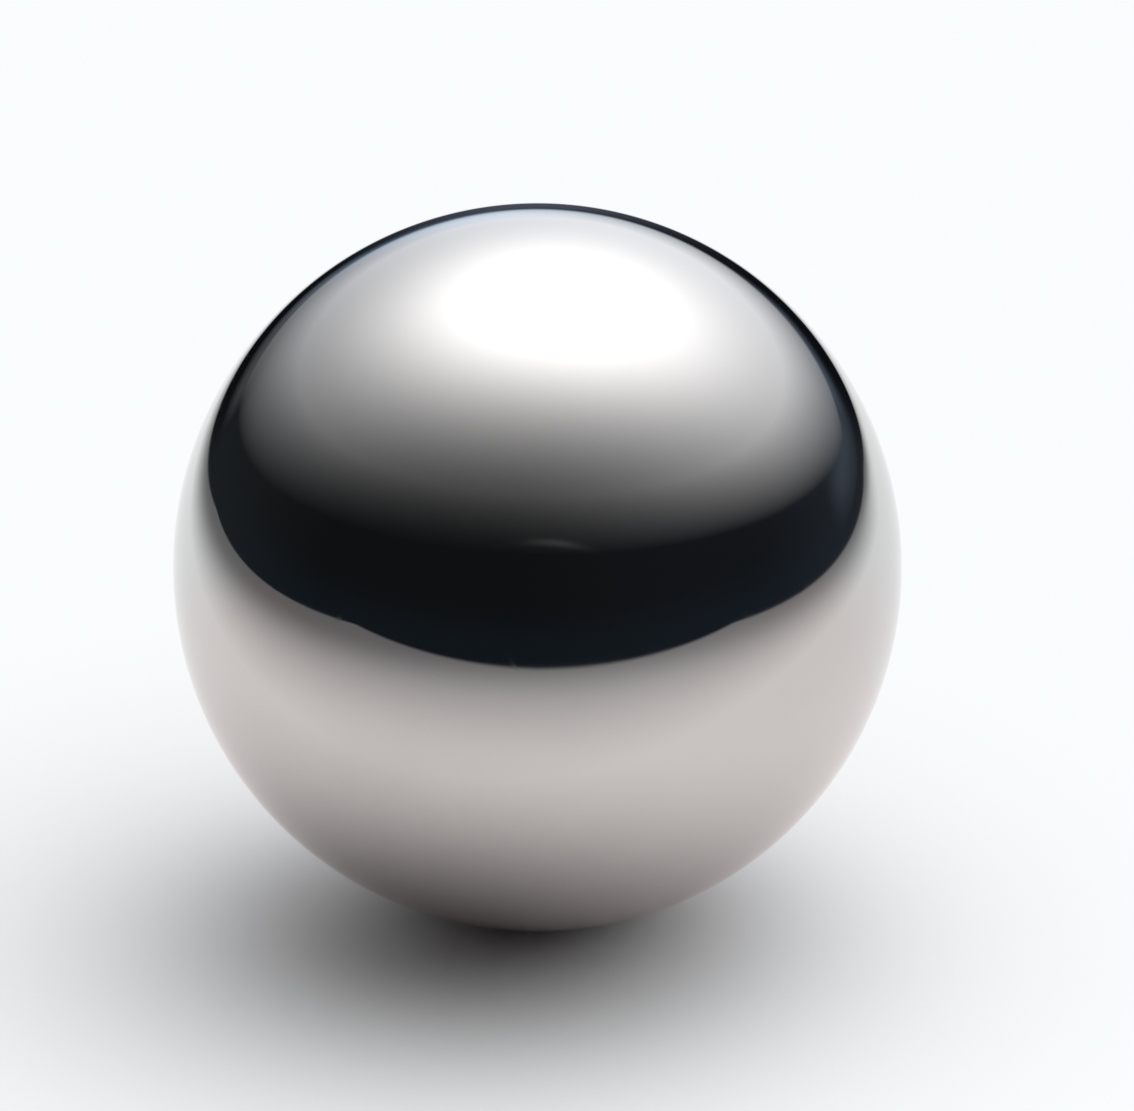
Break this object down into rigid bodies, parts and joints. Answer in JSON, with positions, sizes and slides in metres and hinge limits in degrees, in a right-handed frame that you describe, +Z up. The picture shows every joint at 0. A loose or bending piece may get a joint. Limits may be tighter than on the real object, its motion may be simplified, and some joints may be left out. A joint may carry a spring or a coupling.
{
  "type": "steel ball",
  "caption": "Solid mirror-polished steel ball that fills the palm, plain all over, with no seam, flat or hole.",
  "frame": {"origin": "centre of the ball", "axes": "+Z up as the ball is held; the ball is the same about every axis through its centre"},
  "size_m": [0.08, 0.08, 0.08],
  "materials": {
    "polished_steel": "bare hardened steel, lapped and polished to a mirror, no plating or coating"
  },
  "bodies": {
    "root": {"ball": "polished_steel"}
  },
  "joints": []
}
